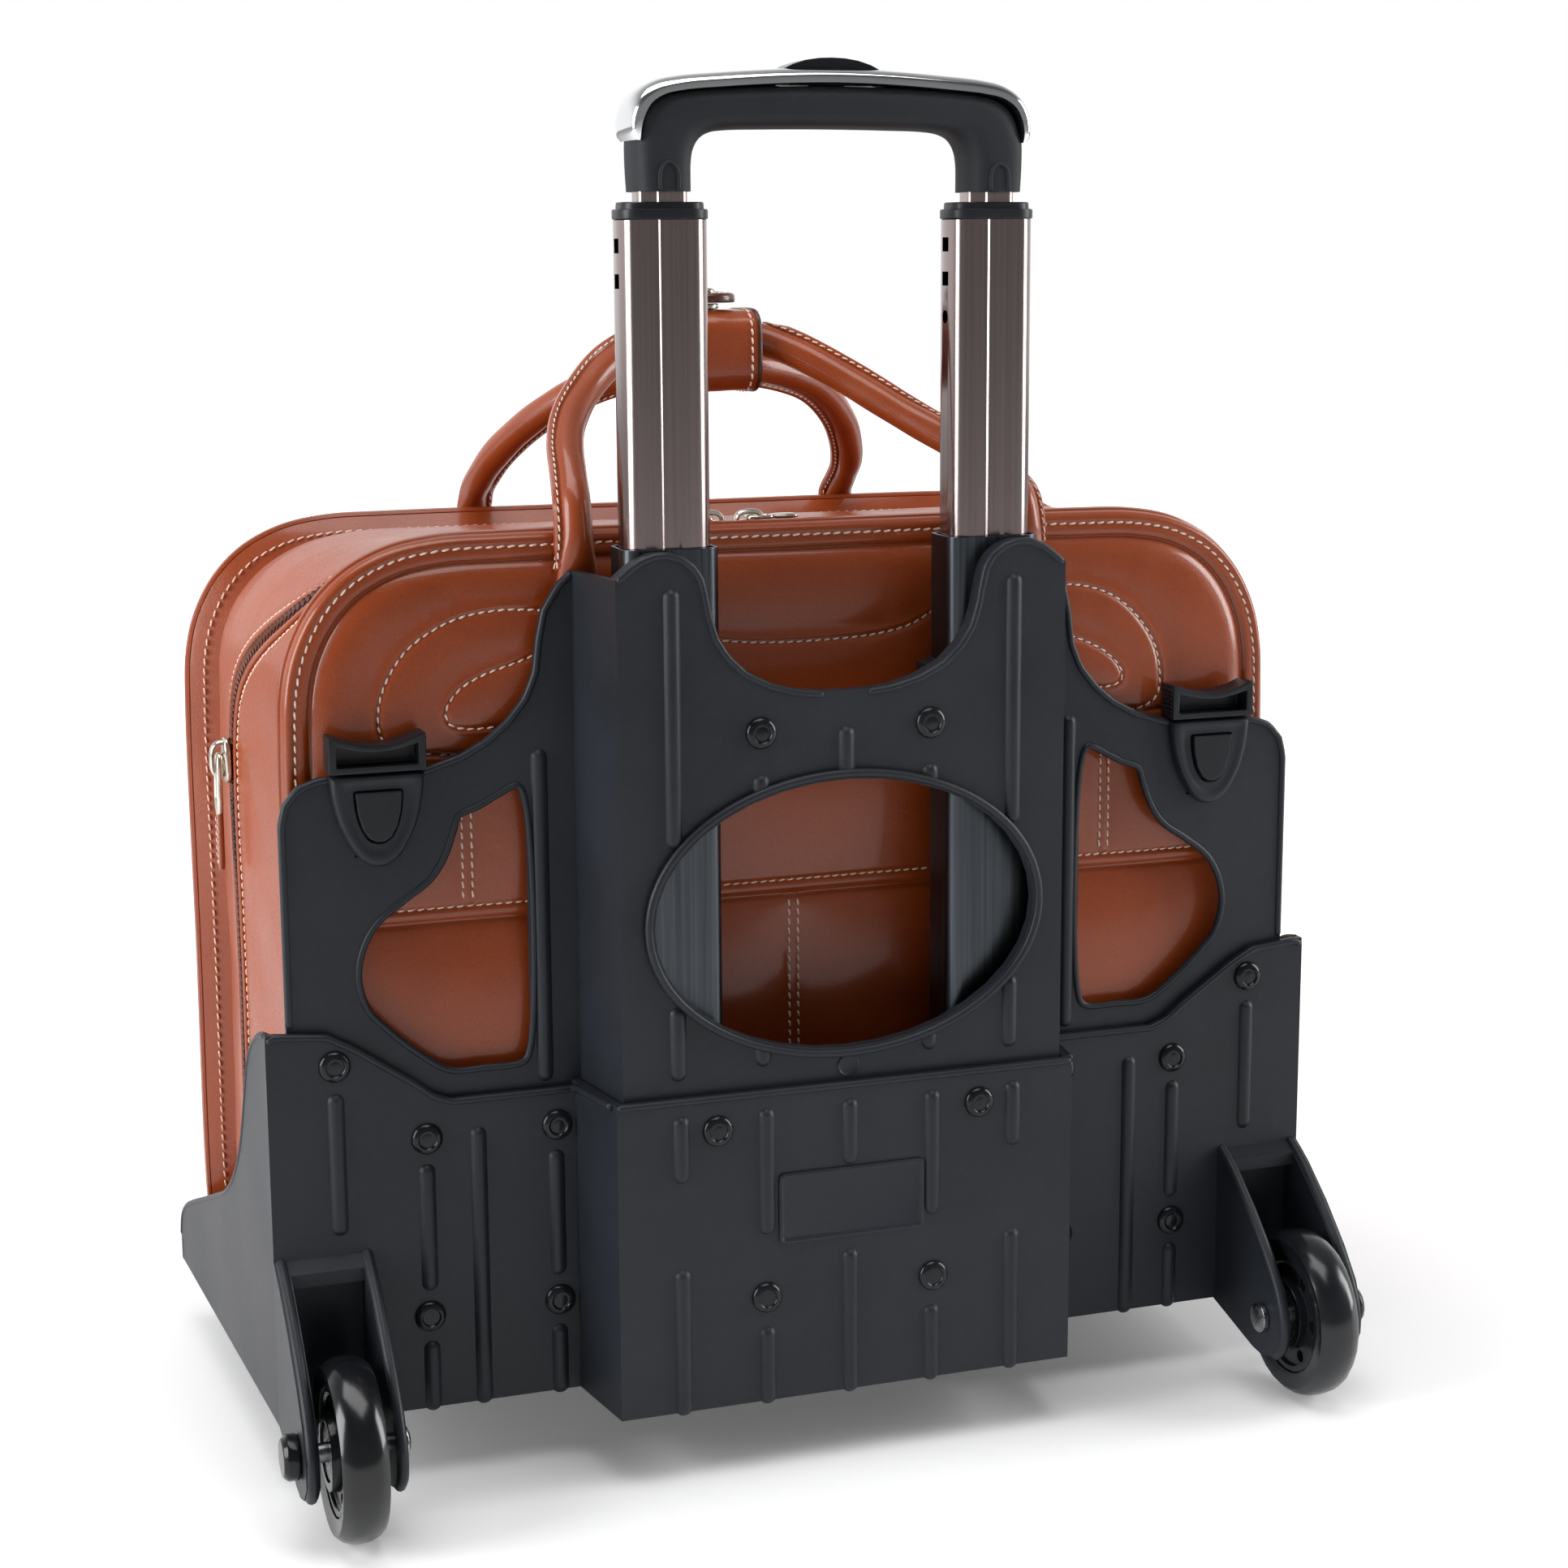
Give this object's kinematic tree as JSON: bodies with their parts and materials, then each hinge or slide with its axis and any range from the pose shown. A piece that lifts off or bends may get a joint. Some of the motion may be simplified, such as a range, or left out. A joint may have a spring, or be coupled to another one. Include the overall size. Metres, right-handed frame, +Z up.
{
  "type": "rolling laptop case",
  "caption": "Leather laptop briefcase standing in a detachable wheeled plastic trolley with a two-stage telescopic pull handle, twin carry handles and side and top zips.",
  "frame": {"origin": "on the floor, at the centre of the footprint of the whole case", "axes": "+Z up, +X to the right as seen from the trolley side, +Y from the trolley towards the bag's front"},
  "size_m": [0.4652, 0.285, 0.5484],
  "materials": {
    "trolley_plastic": "charcoal moulded nylon, fine spark-eroded grain, satin",
    "black_plastic": "black moulded plastic, semi-gloss",
    "foot_rubber": "matte black rubber",
    "wheel_pu": "glossy black polyurethane",
    "steel": "zinc-plated and ground steel",
    "tube_anodised": "gunmetal anodised, brushed lengthwise",
    "grip_soft": "soft-touch black",
    "grip_chrome": "bright chrome",
    "leather": "glossy cognac top-grain leather",
    "lining": "padded nylon lining",
    "nickel": "polished nickel"
  },
  "bodies": {
    "trolley": {"lower_frame": "trolley_plastic", "upper_panel": "trolley_plastic", "latch_housing_left": "trolley_plastic", "latch_housing_right": "trolley_plastic", "rivet_1": "black_plastic", "rivet_2": "black_plastic", "rivet_3": "black_plastic", "rivet_4": "black_plastic", "rivet_5": "black_plastic", "rivet_6": "black_plastic", "rivet_7": "black_plastic", "rivet_8": "black_plastic", "foot_left": "foot_rubber", "foot_right": "foot_rubber", "axle_left": "steel", "axle_cap_left": "black_plastic", "axle_right": "steel", "axle_cap_right": "black_plastic", "outer_tube_left": "black_plastic", "outer_tube_right": "black_plastic"},
    "wheel_left": {"tyre_left": "wheel_pu", "hub_left": "black_plastic", "bearing_left_inner": "steel", "bearing_left_outer": "steel"},
    "wheel_right": {"tyre_right": "wheel_pu", "hub_right": "black_plastic", "bearing_right_inner": "steel", "bearing_right_outer": "steel"},
    "handle_mid": {"mid_tube_left": "tube_anodised", "mid_tube_right": "tube_anodised", "mid_collar_left": "black_plastic", "mid_collar_right": "black_plastic"},
    "handle_top": {"inner_tube_left": "tube_anodised", "inner_tube_right": "tube_anodised", "grip_body": "grip_soft", "grip_trim": "grip_chrome"},
    "release": {"release_button": "grip_soft", "release_rod_left": "steel", "release_rod_right": "steel"},
    "latch_left": {"latch_left": "black_plastic"},
    "latch_right": {"latch_right": "black_plastic"},
    "latch_button_left": {"latch_button_left": "black_plastic"},
    "latch_button_right": {"latch_button_right": "black_plastic"},
    "bag": {"back_panel": "leather", "front_panel": "leather", "gusset": "leather", "laptop_divider": "lining", "handle_back": "leather", "handle_front": "leather", "handle_keeper": "leather", "snap_stud": "nickel"},
    "side_slider": {"side_slider": "nickel"},
    "side_pull": {"side_pull": "nickel"},
    "top_slider_left": {"top_slider_left": "nickel"},
    "top_pull_left": {"top_pull_left": "nickel"},
    "top_slider_right": {"top_slider_right": "nickel"},
    "top_pull_right": {"top_pull_right": "nickel"},
    "snap_flap": {"snap_flap": "leather"}
  },
  "joints": [
    {"name": "wheel_left_spin", "type": "hinge", "parent": "trolley", "child": "wheel_left", "pos_m": [-0.2028, -0.1075, 0.035], "axis": [1, 0, 0], "continuous": true},
    {"name": "wheel_right_spin", "type": "hinge", "parent": "trolley", "child": "wheel_right", "pos_m": [0.2028, -0.1075, 0.035], "axis": [1, 0, 0], "continuous": true},
    {"name": "mid_slide", "type": "slide", "parent": "trolley", "child": "handle_mid", "axis": [0, 0, 1], "range_m": [-0.121, 0.12]},
    {"name": "grip_slide", "type": "slide", "parent": "handle_mid", "child": "handle_top", "axis": [0, 0, 1], "range_m": [0, 0.24]},
    {"name": "release_press", "type": "slide", "parent": "handle_top", "child": "release", "axis": [0, 0, -1], "range_m": [0, 0.0035], "stiffness_N_per_m": 900, "springref_m": -0.002},
    {"name": "latch_left_slide", "type": "slide", "parent": "trolley", "child": "latch_left", "axis": [0, 0, 1], "range_m": [0, 0.008], "stiffness_N_per_m": 300, "springref_m": -0.002},
    {"name": "latch_right_slide", "type": "slide", "parent": "trolley", "child": "latch_right", "axis": [0, 0, 1], "range_m": [0, 0.008], "stiffness_N_per_m": 300, "springref_m": -0.002},
    {"name": "latch_button_left_press", "type": "slide", "parent": "trolley", "child": "latch_button_left", "axis": [0, 1, 0], "range_m": [0, 0.0024], "stiffness_N_per_m": 400, "springref_m": -0.001},
    {"name": "latch_button_right_press", "type": "slide", "parent": "trolley", "child": "latch_button_right", "axis": [0, 1, 0], "range_m": [0, 0.0024], "stiffness_N_per_m": 400, "springref_m": -0.001},
    {"name": "bag_lift", "type": "slide", "parent": "trolley", "child": "bag", "axis": [0, 0, 1], "range_m": [0, 0.2]},
    {"name": "side_zip", "type": "slide", "parent": "bag", "child": "side_slider", "axis": [0, 0, 1], "range_m": [-0.15, 0.025]},
    {"name": "side_pull_swing", "type": "hinge", "parent": "side_slider", "child": "side_pull", "pos_m": [-0.21825, 0.0585, 0.2723], "axis": [0, 1, 0], "range_deg": [0, 100]},
    {"name": "top_zip_left", "type": "slide", "parent": "bag", "child": "top_slider_left", "axis": [1, 0, 0], "range_m": [-0.1, 0]},
    {"name": "top_pull_left_swing", "type": "hinge", "parent": "top_slider_left", "child": "top_pull_left", "pos_m": [-0.034, -0.0345, 0.37295], "axis": [0, 1, 0], "range_deg": [0, 110]},
    {"name": "top_zip_right", "type": "slide", "parent": "bag", "child": "top_slider_right", "axis": [1, 0, 0], "range_m": [0, 0.13]},
    {"name": "top_pull_right_swing", "type": "hinge", "parent": "top_slider_right", "child": "top_pull_right", "pos_m": [-0.017, -0.0345, 0.37295], "axis": [0, -1, 0], "range_deg": [0, 110]},
    {"name": "snap_flap_lift", "type": "hinge", "parent": "bag", "child": "snap_flap", "pos_m": [-0.014, 0.043, 0.4574], "axis": [-1, 0, 0], "range_deg": [0, 120]}
  ]
}
